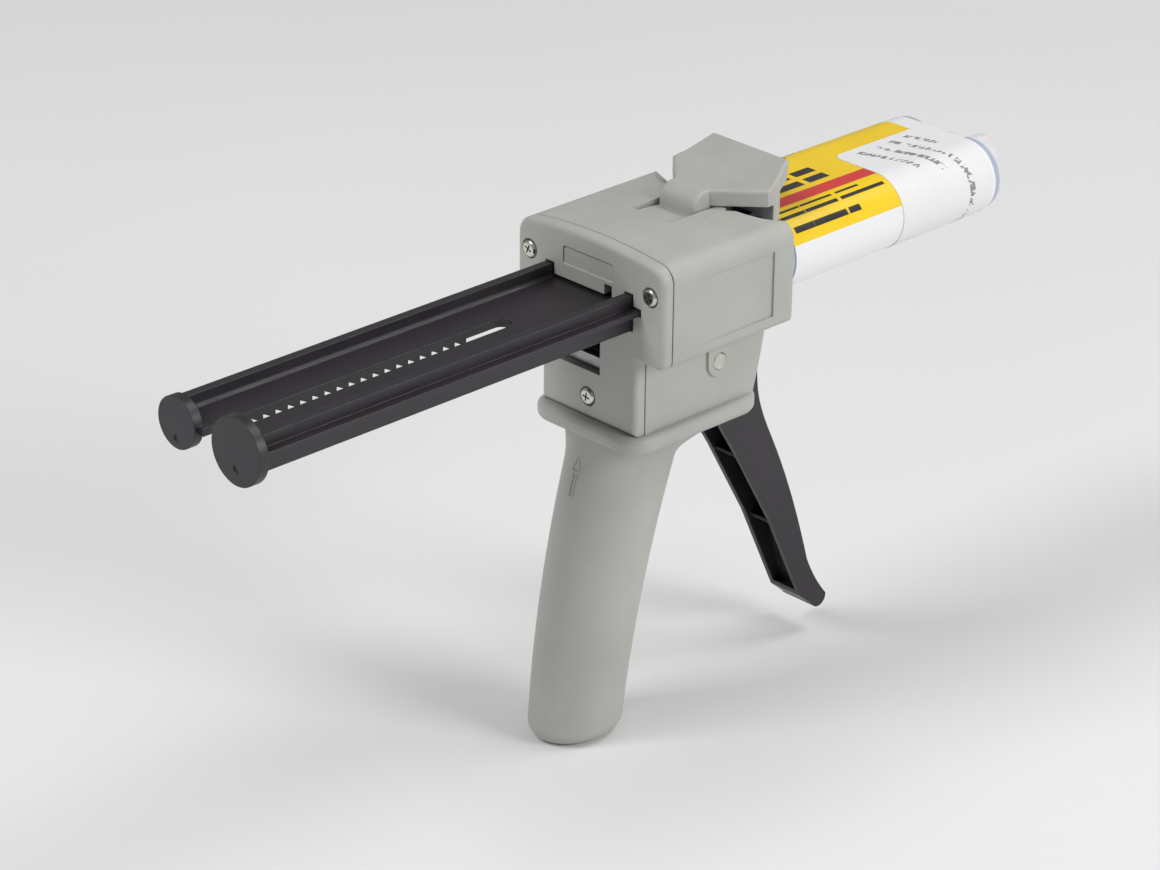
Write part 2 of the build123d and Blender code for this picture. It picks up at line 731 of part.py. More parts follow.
cap_start = cartridge_length + 0.8
cap_inside_end = neck_end + 1.6 + moving_gap
with BuildPart() as retaining_cap:
    with BuildSketch(Plane.YZ.offset(cap_start)):
        Circle(cap_radius)
    extrude(amount=neck_length - 1)
    for x, radius in ((cap_start + neck_length - 1, cap_radius), (cap_tip_x, cap_tip_radius)):
        with BuildSketch(Plane.YZ.offset(x)):
            Circle(radius)
    loft(ruled=True)
    fillet(retaining_cap.edges().filter_by(GeomType.CIRCLE).sort_by(Axis.X)[1:], 0.9)
    # Flat thumb wing with a small nub at its front corner.
    with BuildSketch(Plane.XZ) as wing:
        with BuildLine():
            Polyline(
                (cap_tip_x - 2, 4.5), (114.6, 3.7), (118.6, -2.8), (118.0, -6.0), (cap_tip_x - 2, -6.4),
                close=True,
            )
        make_face()
        fillet(wing.vertices().sort_by(Axis.X)[2:], 1.5)
        with Locations((118.7, -4.4)):
            Circle(nub_radius)
    extrude(amount=wing_thick / 2, both=True)
    with BuildSketch(Plane.YZ.offset(cap_start - 1)):
        Circle(lug_radius + moving_gap)
    extrude(amount=neck_end + moving_gap - cap_start + 1, mode=Mode.SUBTRACT)
    with BuildSketch(Plane.YZ.offset(cap_start)):
        Circle(plug_radius + moving_gap)
    extrude(amount=cap_inside_end - cap_start, mode=Mode.SUBTRACT)
label_and_write(retaining_cap, "retaining_cap")

# ================================================================ latch
with BuildPart() as latch:
    # Plate, rising tab and front posts in side profile.
    with BuildSketch(Plane.XZ) as latch_side:
        with BuildLine():
            Polyline(
                (latch_pin_x, latch_top), (latch_bend_x, latch_top), (tab_x, tab_top),
                (tab_low_x, tab_low), (post_front, tab_low - 1.5), (post_front, post_bottom),
                (post_rear, post_bottom), (post_rear, skirt_bottom), (latch_pin_x, skirt_bottom),
                close=True,
            )
        make_face()
        bend = latch_side.vertices().sort_by_distance((latch_bend_x, latch_top, 0))[0]
        fillet(bend, latch_bend_round)
    extrude(amount=latch_wide_half, both=True)
    # Plan outline: narrow at the hinge, widest at the posts, narrower tab.
    with BuildSketch(Plane.XY.offset(post_bottom)):
        with BuildLine():
            Polyline(
                (latch_pin_x, -knuckle_half_width), (latch_pin_x + 1.2, -knuckle_half_width),
                (latch_wide_x, -latch_wide_half), (latch_bend_x, -latch_wide_half), (tab_x, -tab_half),
                (tab_x, tab_half), (latch_bend_x, latch_wide_half), (latch_wide_x, latch_wide_half),
                (latch_pin_x + 1.2, knuckle_half_width), (latch_pin_x, knuckle_half_width), close=True,
            )
        make_face()
    extrude(amount=tab_top - post_bottom + 1, mode=Mode.INTERSECT)
    # Hinge knuckle.
    with BuildSketch(Plane.XZ):
        with BuildLine():
            Line((latch_pin_x - knuckle_round, latch_pin_z),
                 (latch_pin_x - knuckle_round, latch_top - knuckle_round))
            RadiusArc((latch_pin_x - knuckle_round, latch_top - knuckle_round),
                      (latch_pin_x, latch_top), knuckle_round)
            Polyline((latch_pin_x, latch_top), (latch_pin_x + 2.4, latch_top),
                     (latch_pin_x + 2.4, latch_pin_z))
            ThreePointArc((latch_pin_x + 2.4, latch_pin_z), (latch_pin_x - 1, latch_pin_z - 3.4),
                          (latch_pin_x - knuckle_round, latch_pin_z))
        make_face()
    extrude(amount=knuckle_half_width, both=True)
    # Softened outer edges.
    rims = [
        e for e in latch.edges()
        if e.center().Z > latch_top - 0.1
        or (abs(e.center().Y) > knuckle_half_width - 0.1 and e.center().X < latch_pin_x
            and e.center().Z > skirt_bottom)
    ]
    fillet(rims, latch_edge_round)
    # Hollow under the plate, behind the front wall.
    inset = latch_wall * 1.3
    with BuildSketch(Plane.XY.offset(skirt_bottom - 1)):
        with BuildLine():
            Polyline(
                (latch_pin_x + 2.4, -knuckle_half_width + 1), (latch_wide_x - 0.4, -latch_wide_half + inset),
                (post_rear, -latch_wide_half + inset), (post_rear, latch_wide_half - inset),
                (latch_wide_x - 0.4, latch_wide_half - inset),
                (latch_pin_x + 2.4, knuckle_half_width - 1), close=True,
            )
        make_face()
    extrude(amount=latch_top - skirt_bottom + 1 - latch_wall, mode=Mode.SUBTRACT)
    # Room for the barrels under the front wall and between the posts.
    with BuildSketch(Plane.YZ.offset(post_rear - 1)):
        stadium(barrel_spacing / 2, barrel_radius_rear + 0.9)
        with Locations((0, post_bottom)):
            Rectangle(2 * (latch_wide_half - post_wide), 5)
    extrude(amount=post_front - post_rear + 2, mode=Mode.SUBTRACT)
    # Tongue that stands in front of the cartridge flange.
    with BuildSketch(Plane.YZ.offset(flange_front + 0.25)):
        with Locations((0, (latch_top + 8.8) / 2 - 0.5)):
            Rectangle(6.4, latch_top - 8.8 - 1)
    extrude(amount=3)
    # Heel that covers the pocket behind the hinge.
    with BuildSketch(Plane.XZ):
        with BuildLine():
            Polyline(
                (latch_pin_x - 2, latch_pin_z + 1.9), (heel_x, latch_pin_z + 2.8), (heel_x, latch_pin_z + 1.4),
                (latch_pin_x - 2, latch_pin_z - 0.6), close=True,
            )
        make_face()
    extrude(amount=knuckle_half_width, both=True)
    with BuildSketch(Plane.XZ):
        with Locations((latch_pin_x, latch_pin_z)):
            Circle(latch_pin_radius + running_gap)
    extrude(amount=far / 2, both=True, mode=Mode.SUBTRACT)
label_and_write(latch, "latch")

# ================================================================ trigger
with BuildPart() as trigger:
    with BuildSketch(Plane.XZ):
        with BuildLine():
            # Front edge, from under the housing down to the toe.
            Spline(
                (trigger_pin_x + 2, trigger_pin_z + 5.6), (7.0, -21.0), (14.2, -31.0), (16.0, -44.0),
                (23.1, -62.4), (28.9, -75.6), (34.2, -90.0), (38.6, -104.0),
            )
            Spline((38.6, -104.0), (42.5, -111.5), (47.0, -117.7))
            ThreePointArc((47.0, -117.7), (46.0, -120.4), (41.5, -119.6))
            Polyline((41.5, -119.6), (36.6, -115.4), (23.2, -87.2), (8.9, -62.4), (-6.6, -37.6))
            Line((-6.6, -37.6), (trigger_pin_x - 5.4, trigger_pin_z - 3.0))
            Line((trigger_pin_x - 5.4, trigger_pin_z - 3.0), (trigger_pin_x + 2, trigger_pin_z + 5.6))
        make_face()
        with Locations((trigger_pin_x, trigger_pin_z)):
            Circle(6.2)
    extrude(amount=trigger_half_width, both=True)
    # Channel behind, between the two flanges.
    with BuildSketch(Plane.XZ):
        with BuildLine():
            Spline(
                (9.0, -31.0), (13.6, -44.6), (20.9, -62.9), (26.7, -76.2), (32.0, -90.6), (36.2, -104.0),
            )
            Polyline((36.2, -104.0), (39.2, -114.6), (36.0, -113.6), (28.0, -115.0), (-10.0, -62.0),
                     (-10.0, -38.0), (9.0, -31.0))
        make_face()
    extrude(amount=trigger_half_width - flange_wall, both=True, mode=Mode.SUBTRACT)
    # Cross ribs in the channel.
    for x, z in ((10.5, -63.4), (25.8, -89.1)):
        rib_plane = Plane(origin=(x, 0, z), x_dir=(cos(radians(20)), 0, -sin(radians(20))), z_dir=(0, -1, 0))
        with BuildSketch(rib_plane):
            with Locations((3.4, 0)):
                Rectangle(7.4, 0.9)
        extrude(amount=trigger_half_width - flange_wall + 0.2, both=True)
    # Arm up to the drive pawl, beside the pawl.
    with BuildSketch(Plane.XZ):
        with Locations((trigger_pin_x, trigger_pin_z + pawl_arm)):
            Circle(3.6)
        with Locations((trigger_pin_x, trigger_pin_z + pawl_arm / 2)):
            Rectangle(7.2, pawl_arm)
    extrude(amount=-trigger_half_width)
    with BuildSketch(Plane.XZ):
        with Locations((trigger_pin_x, trigger_pin_z)):
            Circle(trigger_pin_radius + running_gap)
        with Locations((trigger_pin_x, trigger_pin_z + pawl_arm)):
            Circle(pawl_pin_radius + running_gap)
    extrude(amount=far / 2, both=True, mode=Mode.SUBTRACT)
label_and_write(trigger, "trigger")

# ================================================================ pins
for name, x, z, radius, half in (
    ("trigger_pin", trigger_pin_x, trigger_pin_z, trigger_pin_radius,
     lower_half_width + pin_boss_tall + pin_stand_out),
    ("latch_pin", latch_pin_x, latch_pin_z, latch_pin_radius, pocket_half + cheek_thick - 0.2),
    ("holding_pawl_pin", hold_pin_x, hold_pin_z, pawl_pin_radius, hold_pin_half),
):
    with BuildPart() as pin:
        with BuildSketch(Plane.XZ):
            with Locations((x, z)):
                Circle(radius)
        extrude(amount=half, both=True)
        chamfer(pin.edges().filter_by(GeomType.CIRCLE), 0.3)
    label_and_write(pin, name)

with BuildPart() as drive_pawl_pin:
    with BuildSketch(Plane.XZ.offset(drive_pin_right)):
        with Locations((trigger_pin_x, trigger_pin_z + pawl_arm)):
            Circle(pawl_pin_radius)
    extrude(amount=-(drive_pin_right + trigger_half_width))
    chamfer(drive_pawl_pin.edges().filter_by(GeomType.CIRCLE), 0.3)
label_and_write(drive_pawl_pin, "drive_pawl_pin")


# ================================================================ pawls
def pawl_outline(pin_x, pin_z, reach, tail):
    """Side profile of a pawl: eye round the pin, nose up under the rack, tail behind."""
    rise = pawl_tip_z - pin_z
    with Locations((pin_x, pin_z)):
        Circle(pawl_pin_radius + 1.7)
    with BuildLine() as nose:
        Polyline(
            (pin_x - 2.4, pin_z + 2.0), (pin_x + reach - 2.6, pin_z + rise), (pin_x + reach, pin_z + rise),
            (pin_x + reach, pin_z + rise - 1.2), (pin_x + 2.4, pin_z - 2.0), close=True,
        )
    make_face(nose.edges())
    with BuildLine() as heel:
        Polyline(
            (pin_x, pin_z + 1.4), (pin_x - tail, pin_z - 0.4), (pin_x - tail, pin_z - 2.2),
            (pin_x, pin_z - 2.6), close=True,
        )
    make_face(heel.edges())


for name, x, z, reach, tail in (
    ("drive_pawl", trigger_pin_x, trigger_pin_z + pawl_arm, 6.4, 4.2),
    ("holding_pawl", hold_pin_x, hold_pin_z, 10.4, 9.0),
):
    with BuildPart() as pawl:
        with BuildSketch(Plane.XZ.offset(-pawl_y + pawl_thick / 2)):
            pawl_outline(x, z, reach, tail)
        extrude(amount=-pawl_thick)
        with BuildSketch(Plane.XZ):
            with Locations((x, z)):
                Circle(pawl_pin_radius + running_gap)
        extrude(amount=far / 2, both=True, mode=Mode.SUBTRACT)
    label_and_write(pawl, name)

# ================================================================ release lever
with BuildPart() as release_lever:
    # Bent steel strip: thumb tab in the rear window, eye round the pin.
    with BuildSketch(Plane.XZ.offset(-lever_left)):
        with BuildLine():
            Polyline(
                (tab_rear, tab_z + lip_height / 2), (tab_rear, tab_z - lip_height / 2),
                (tab_rear + lever_sheet, tab_z - lip_height / 2), (lever_bend_x, tab_z - lever_sheet),
                lever_knee, (lever_knee[0], lever_knee[1] + lever_sheet), (lever_bend_x, tab_z),
                (tab_rear + lever_sheet, tab_z + lip_height / 2), close=True,
            )
        make_face()
    extrude(amount=lever_width)
    for y in (lever_left, lever_left - lever_arm_step):
        with BuildSketch(Plane.XZ.offset(-y)):
            with BuildLine():
                Polyline(
                    (-34.0, -18.8), (-29.4, -17.6), (hold_pin_x + 2.6, hold_pin_z - 1.6),
                    (hold_pin_x + 2.6, hold_pin_z + 2.6), (hold_pin_x - 2.6, hold_pin_z + 2.6),
                    (-32.0, -16.6), close=True,
                )
            make_face()
        extrude(amount=1.4)
    with BuildSketch(Plane.XZ):
        with Locations((hold_pin_x, hold_pin_z)):
            Circle(pawl_pin_radius + running_gap)
    extrude(amount=far / 2, both=True, mode=Mode.SUBTRACT)
label_and_write(release_lever, "release_lever")


# ================================================================ springs
def coil_spring(x, z, y_start, turns, pitch, radius, wire, legs):
    """Torsion spring coiled round a Y axis, with a straight leg at each end."""
    with BuildLine(mode=Mode.PRIVATE) as path:
        Helix(pitch, turns * pitch, radius, center=(x, y_start, z), direction=(0, 1, 0))
    coil = path.line.edges()[0]
    with BuildSketch(Plane(coil @ 0, z_dir=coil % 0), mode=Mode.PRIVATE) as section:
        Circle(wire / 2)
    pieces = [sweep(sections=section.sketch, path=coil, is_frenet=True, mode=Mode.PRIVATE)]
    for end, direction, length in legs:
        with BuildSketch(Plane(coil @ end, z_dir=direction), mode=Mode.PRIVATE) as leg:
            Circle(wire / 2 - 0.01)
        pieces.append(extrude(leg.sketch, amount=length, mode=Mode.PRIVATE))
    return pieces


with BuildPart() as trigger_spring:
    add(coil_spring(
        trigger_pin_x, trigger_pin_z, 7.4, 4.25, 1.6, 3.7, 1.1,
        ((0, (-1, 0, 0), 10.0), (1, (0, 0, -1), 7.0)),
    ))
label_and_write(trigger_spring, "trigger_spring")

with BuildPart() as holding_pawl_spring:
    add(coil_spring(
        hold_pin_x, hold_pin_z, -9.8, 3.25, 0.9, 2.6, 0.6,
        ((0, (-1, 0, 0), 6.0), (1, (0, 0, -1), 5.0)),
    ))
label_and_write(holding_pawl_spring, "holding_pawl_spring")

with BuildPart() as drive_pawl_spring:
    add(coil_spring(
        trigger_pin_x, trigger_pin_z + pawl_arm, -8.4, 2.25, 0.9, 2.5, 0.6,
        ((0, (-1, 0, 0), 5.0), (1, (0, 0, -1), 4.0)),
    ))
label_and_write(drive_pawl_spring, "drive_pawl_spring")
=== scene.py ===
"""Looks of the two-component dispensing gun: finishes, moulded details, print and studio.

Metres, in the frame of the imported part: +X forward along the dispensing axis, +Y to the
tool's left, +Z up, origin in the middle of the cartridge slot.
"""

import json
import logging
import math
from abc import ABC, abstractmethod
from dataclasses import dataclass
from enum import Enum
from typing import Any

import bpy
from mathutils import Matrix, Vector

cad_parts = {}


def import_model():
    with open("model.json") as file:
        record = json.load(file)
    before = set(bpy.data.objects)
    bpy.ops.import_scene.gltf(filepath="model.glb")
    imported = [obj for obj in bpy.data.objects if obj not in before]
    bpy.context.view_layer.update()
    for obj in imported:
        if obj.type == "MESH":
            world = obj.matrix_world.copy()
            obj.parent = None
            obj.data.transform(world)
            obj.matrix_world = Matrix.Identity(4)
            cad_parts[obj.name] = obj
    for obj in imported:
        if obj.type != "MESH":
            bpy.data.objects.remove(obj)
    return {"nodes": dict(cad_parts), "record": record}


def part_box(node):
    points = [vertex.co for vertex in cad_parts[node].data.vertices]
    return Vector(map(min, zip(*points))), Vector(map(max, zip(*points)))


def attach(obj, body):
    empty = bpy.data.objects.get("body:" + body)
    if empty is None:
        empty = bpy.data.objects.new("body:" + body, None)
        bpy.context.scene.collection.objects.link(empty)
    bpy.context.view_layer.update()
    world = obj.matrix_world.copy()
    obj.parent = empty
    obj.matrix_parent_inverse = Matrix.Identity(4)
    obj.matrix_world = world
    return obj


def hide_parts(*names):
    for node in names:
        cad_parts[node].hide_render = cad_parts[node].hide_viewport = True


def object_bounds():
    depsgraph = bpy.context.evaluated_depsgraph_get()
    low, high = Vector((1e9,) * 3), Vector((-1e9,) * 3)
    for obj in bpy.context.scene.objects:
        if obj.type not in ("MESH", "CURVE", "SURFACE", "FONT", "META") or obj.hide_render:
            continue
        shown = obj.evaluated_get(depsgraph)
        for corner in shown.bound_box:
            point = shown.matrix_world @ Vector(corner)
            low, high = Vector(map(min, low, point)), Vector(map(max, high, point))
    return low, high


FRAME: dict[str, Any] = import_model()
CAD_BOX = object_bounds()
LOG = logging.getLogger("dispensing_gun")

Colour = tuple[float, float, float]
Point = tuple[float, float, float]


class Body(Enum):
    """Bodies that added pieces ride on."""

    GUN = "gun"


# ------------------------------------------------------------------ material nodes
class NodeBoard:
    """A material's node tree, with short calls for the nodes that the finishes share."""

    def __init__(self, name: str) -> None:
        """Start an empty material that ends in one Principled shader.

        Args:
            name: Name of the new material.
        """
        self.material = bpy.data.materials.new(name)
        self.material.use_nodes = True
        self.tree = self.material.node_tree
        self.tree.nodes.clear()
        self.shader = self.add("ShaderNodeBsdfPrincipled")
        output = self.add("ShaderNodeOutputMaterial")
        self.link(self.shader.outputs["BSDF"], output.inputs["Surface"])
        self.place = self.add("ShaderNodeTexCoord").outputs["Object"]

    def add(self, kind: str, **values: Any) -> bpy.types.Node:
        """Add a node and set its plain properties.

        Args:
            kind: Blender's name for the node type.
            **values: Properties set on the node.

        Returns:
            The new node.
        """
        node = self.tree.nodes.new(kind)
        for key, value in values.items():
            setattr(node, key, value)
        return node

    def link(self, source: Any, target: Any) -> None:
        """Join an output to an input.

        Args:
            source: Output that gives the value.
            target: Input that takes it.
        """
        self.tree.links.new(source, target)

    def feed(self, socket: Any, value: Any) -> None:
        """Give an input a link where the value is a socket, or else a plain value.

        Args:
            socket: Input to feed.
            value: Socket, number or colour.
        """
        if isinstance(value, bpy.types.NodeSocket):
            self.link(value, socket)
        else:
            socket.default_value = value

    def noise(self, scale: float, detail: float = 3.0, stretch: Point | None = None) -> Any:
        """Noise on the object's own coordinates.

        Args:
            scale: Cells in a metre.
            detail: Octaves.
            stretch: Scale of each axis, for brushed or drawn marks.

        Returns:
            The noise's factor output.
        """
        vector = self.place
        if stretch:
            mapping = self.add("ShaderNodeMapping")
            mapping.inputs["Scale"].default_value = stretch
            self.link(self.place, mapping.inputs["Vector"])
            vector = mapping.outputs["Vector"]
        node = self.add("ShaderNodeTexNoise")
        node.inputs["Scale"].default_value = scale
        node.inputs["Detail"].default_value = detail
        self.link(vector, node.inputs["Vector"])
        return node.outputs["Fac"]

    def spread(self, value: Any, low: float, high: float, to_low: float, to_high: float) -> Any:
        """Map a value's range onto another, held at both ends.

        Args:
            value: Socket to map.
            low: Start of its range.
            high: End of its range.
            to_low: Result at the start.
            to_high: Result at the end.

        Returns:
            The mapped output.
        """
        node = self.add("ShaderNodeMapRange", clamp=True)
        for slot, number in zip(range(1, 5), (low, high, to_low, to_high)):
            node.inputs[slot].default_value = number
        self.link(value, node.inputs[0])
        return node.outputs[0]

    def maths(self, operation: str, first: Any, second: Any = 0.0) -> Any:
        """One arithmetic step.

        Args:
            operation: Blender's name for it.
            first: Socket or number.
            second: Socket or number.

        Returns:
            The result's output.
        """
        node = self.add("ShaderNodeMath", operation=operation)
        self.feed(node.inputs[0], first)
        self.feed(node.inputs[1], second)
        return node.outputs[0]

    def blend(self, share: Any, first: Any, second: Any) -> Any:
        """Mix two colours.

        Args:
            share: Socket that gives the second colour's share.
            first: Colour or socket.
            second: Colour or socket.

        Returns:
            The mixed colour's output.
        """
        node = self.add("ShaderNodeMix", data_type="RGBA")
        self.link(share, node.inputs[0])
        for index, value in ((6, first), (7, second)):
            self.feed(node.inputs[index], (*value, 1.0) if isinstance(value, tuple) else value)
        return node.outputs[2]

    def bump(self, height: Any, strength: float, distance: float, below: Any = None) -> Any:
        """Surface relief.

        Args:
            height: Socket with the height.
            strength: Share of the relief shown.
            distance: Depth of the relief in metres.
            below: Normal of a coarser relief under it.

        Returns:
            The normal's output.
        """
        node = self.add("ShaderNodeBump")
        node.inputs["Strength"].default_value = strength
        node.inputs["Distance"].default_value = distance
        self.link(height, node.inputs["Height"])
        if below is not None:
            self.link(below, node.inputs["Normal"])
        return node.outputs["Normal"]

    def edges(self, radius: float) -> tuple[Any, Any]:
        """Rounded normal near edges, and a mask of those edges.

        Args:
            radius: Width of the rounding in metres.

        Returns:
            The rounded normal, and a mask that is 1 on sharp edges.
        """
        rounded = self.add("ShaderNodeBevel", samples=6)
        rounded.inputs["Radius"].default_value = radius
        plain = self.add("ShaderNodeNewGeometry").outputs["Normal"]
        match = self.add("ShaderNodeVectorMath", operation="DOT_PRODUCT")
        self.link(rounded.outputs[0], match.inputs[0])
        self.link(plain, match.inputs[1])
        return rounded.outputs[0], self.spread(match.outputs["Value"], 0.995, 0.90, 0.0, 1.0)

    def axis(self, letter: str) -> Any:
        """One of the object's coordinates.

        Args:
            letter: X, Y or Z.

        Returns:
            Its output in metres.
        """
        split = self.add("ShaderNodeSeparateXYZ")
        self.link(self.place, split.inputs[0])
        return split.outputs[letter]

    def band(self, value: Any, low: float, high: float, soft: float = 0.00005) -> Any:
        """Mask that is 1 where a value lies between two limits.

        Args:
            value: Socket to test.
            low: Lower limit.
            high: Upper limit.
            soft: Width of the soft edge.

        Returns:
            The mask's output.
        """
        return self.maths("MULTIPLY", self.spread(value, low - soft, low + soft, 0.0, 1.0),
                          self.spread(value, high - soft, high + soft, 1.0, 0.0))


class Finish(ABC):
    """A material recipe."""

    @abstractmethod
    def build(self) -> bpy.types.Material:
        """Make the material.

        Returns:
            The finished material.
        """


@dataclass(frozen=True)
class MouldedPlastic(Finish):
    """Injection-moulded plastic with fine grain, faint flow marks and rubbed edges."""

    name: str
    colour: Colour
    worn: Colour
    roughness: float
    grain_depth: float
    grain_scale: float = 5200.0
    variation: float = 0.06
    edge_radius: float = 0.0004
    see_depth: float = 0.0

    def build(self) -> bpy.types.Material:
        """Make the material.

        Returns:
            The finished material.
        """
        board = NodeBoard(self.name)
        shade = board.spread(board.noise(45.0, 4.0), 0.3, 0.7, 0.0, 1.0)
        low = tuple(c * (1 - self.variation) for c in self.colour)
        high = tuple(min(1.0, c * (1 + self.variation)) for c in self.colour)
        base = board.blend(shade, low, high)
        speck = board.spread(board.noise(2600.0, 2.0), 0.66, 0.74, 0.0, 0.35)
        base = board.blend(speck, base, tuple(c * 0.8 for c in self.colour))
        rounded, edge = board.edges(self.edge_radius)
        patches = board.spread(board.noise(260.0, 4.0), 0.42, 0.62, 0.0, 0.6)
        rubbed = board.maths("MULTIPLY", edge, patches)
        board.feed(board.shader.inputs["Base Color"], board.blend(rubbed, base, self.worn))
        handling = board.noise(90.0, 5.0)
        board.feed(board.shader.inputs["Roughness"],
                   board.spread(handling, 0.3, 0.7, self.roughness - 0.07, self.roughness + 0.07))
        flow = board.bump(board.noise(160.0, 2.0), 0.25, 0.00005, rounded)
        grain = board.bump(board.noise(self.grain_scale, 2.0), 0.5, self.grain_depth, flow)
        board.feed(board.shader.inputs["Normal"], grain)
        if self.see_depth:
            board.shader.inputs["Subsurface Weight"].default_value = 0.25
            board.shader.inputs["Subsurface Scale"].default_value = self.see_depth
        return board.material


@dataclass(frozen=True)
class WorkedMetal(Finish):
    """Steel or plated metal with fine drawn marks and noise patches of tarnish."""

    name: str
    colour: Colour
    tarnish: Colour
    roughness: float
    drawn: Point = (1.0, 1.0, 1.0)
    edge_radius: float = 0.00012

    def build(self) -> bpy.types.Material:
        """Make the material.

        Returns:
            The finished material.
        """
        board = NodeBoard(self.name)
        stain = board.spread(board.noise(420.0, 5.0), 0.45, 0.75, 0.0, 0.7)
        board.feed(board.shader.inputs["Base Color"], board.blend(stain, self.colour, self.tarnish))
        board.shader.inputs["Metallic"].default_value = 1.0
        marks = board.noise(3200.0, 4.0, self.drawn)
        board.feed(board.shader.inputs["Roughness"],
                   board.spread(marks, 0.3, 0.7, self.roughness - 0.06, self.roughness + 0.1))
        rounded, _ = board.edges(self.edge_radius)
        board.feed(board.shader.inputs["Normal"], board.bump(marks, 0.35, 0.00002, rounded))
        return board.material


@dataclass(frozen=True)
class PrintedLabel(Finish):
    """Film label: yellow over the top, white below, a red stripe and plain bars for print."""

    name: str = "yellow_label"
    yellow: Colour = (0.88, 0.60, 0.004)
    white: Colour = (0.80, 0.805, 0.815)
    red: Colour = (0.62, 0.035, 0.03)
    ink: Colour = (0.02, 0.018, 0.018)
    yellow_low: float = 0.0043
    yellow_end: float = 0.0872
    stripe_inner: float = 0.0066
    stripe_outer: float = 0.0114
    bars: tuple[tuple[float, float, float, float], ...] = (
        (-0.0100, -0.0068, 0.012, 0.044),
        (0.0022, 0.0032, 0.012, 0.045),
        (0.0050, 0.0066, 0.012, 0.053),
        (0.0105, 0.0131, 0.014, 0.040),
    )

    def build(self) -> bpy.types.Material:
        """Make the material.

        Returns:
            The finished material.
        """
        board = NodeBoard(self.name)
        along, across, height = board.axis("X"), board.axis("Y"), board.axis("Z")
        outside = board.maths("ABSOLUTE", across)
        tint = board.spread(board.noise(60.0, 3.0), 0.3, 0.7, 0.0, 1.0)
        yellow = board.blend(tint, tuple(c * 0.94 for c in self.yellow), self.yellow)
        covered = board.maths("MULTIPLY",
                              board.band(height, self.yellow_low, 1.0),
                              board.band(along, -1.0, self.yellow_end))
        colour = board.blend(covered, self.white, yellow)
        stripe = board.maths("MULTIPLY", covered,
                             board.band(across, -self.stripe_outer, -self.stripe_inner))
        colour = board.blend(stripe, colour, self.red)
        colour = self.print_bars(board, colour, outside, height, along)
        board.feed(board.shader.inputs["Base Color"], colour)
        board.feed(board.shader.inputs["Roughness"],
                   board.spread(board.noise(120.0, 4.0), 0.3, 0.7, 0.28, 0.40))
        board.shader.inputs["Coat Weight"].default_value = 0.08
        board.shader.inputs["Coat Roughness"].default_value = 0.25
        ripple = board.bump(board.noise(90.0, 3.0), 0.4, 0.00010)
        grain = board.bump(board.noise(2400.0, 2.0), 0.2, 0.00001, ripple)
        board.feed(board.shader.inputs["Normal"], grain)
        return board.material

    def print_bars(self, board: NodeBoard, colour: Any, outside: Any, height: Any, along: Any) -> Any:
        """Lay rows of plain bars where a label would carry its print.

        Args:
            board: Node tree to add to.
            colour: Colour under the print.
            outside: Distance from the middle plane.
            height: Height above the axis.
            along: Distance along the barrels.

        Returns:
            The colour with the bars.
        """
        around = board.maths("SUBTRACT", outside, height)
        words = board.noise(300.0, 1.0, (1.0, 0.02, 0.02))
        word = board.spread(words, 0.36, 0.38, 0.0, 1.0)
        for low, high, start, end in self.bars:
            row = board.maths("MULTIPLY", board.band(around, low, high), board.band(along, start, end))
            colour = board.blend(board.maths("MULTIPLY", row, word), colour, self.ink)
        return colour


@dataclass(frozen=True)
class PaperSticker(Finish):
    """White paper sticker with faint fibres and rows of plain grey print."""

    name: str = "white_sticker"
    paper: Colour = (0.78, 0.78, 0.785)
    ink: Colour = (0.16, 0.16, 0.17)
    slant: float = 0.35
    first_row: float = 0.0630
    row_step: float = 0.0064
    row_half: float = 0.0011
    row_start: float = -0.0020
    top_height: float = 0.011
    row_ends: tuple[float, ...] = (0.0160, 0.0220, 0.0380, 0.0075)

    def build(self) -> bpy.types.Material:
        """Make the material.

        Returns:
            The finished material.
        """
        board = NodeBoard(self.name)
        fibre = board.spread(board.noise(1500.0, 4.0), 0.3, 0.7, 0.0, 1.0)
        colour: Any = board.blend(fibre, tuple(c * 0.95 for c in self.paper), self.paper)
        slanted = board.maths("ADD", board.axis("X"), board.maths("MULTIPLY", board.axis("Y"), self.slant))
        down = board.maths("SUBTRACT", board.maths("MULTIPLY", board.axis("Y"), -1.0),
                           board.maths("SUBTRACT", board.axis("Z"), self.top_height))
        word = board.spread(board.noise(1150.0, 1.0, (0.35, 1.0, 1.0)), 0.46, 0.50, 0.0, 0.85)
        for row, row_end in enumerate(self.row_ends):
            middle = self.first_row + row * self.row_step
            bar = board.maths("MULTIPLY",
                              board.band(slanted, middle - self.row_half, middle + self.row_half),
                              board.band(down, self.row_start, row_end))
            colour = board.blend(board.maths("MULTIPLY", bar, word), colour, self.ink)
        board.feed(board.shader.inputs["Base Color"], colour)
        board.feed(board.shader.inputs["Roughness"], board.spread(fibre, 0.0, 1.0, 0.52, 0.66))
        board.feed(board.shader.inputs["Normal"], board.bump(board.noise(1800.0, 4.0), 0.4, 0.00002))
        return board.material


class Slot(Enum):
    """Material slots of the record."""

    GREY = "grey_body"
    DARK = "dark_plastic"
    NICKEL = "nickel_screw"
    PIN = "pale_steel"
    SPRING = "spring_steel"
    WHITE = "white_plastic"
    MILKY = "milky_plastic"
    LABEL = "yellow_label"
    STICKER = "white_sticker"


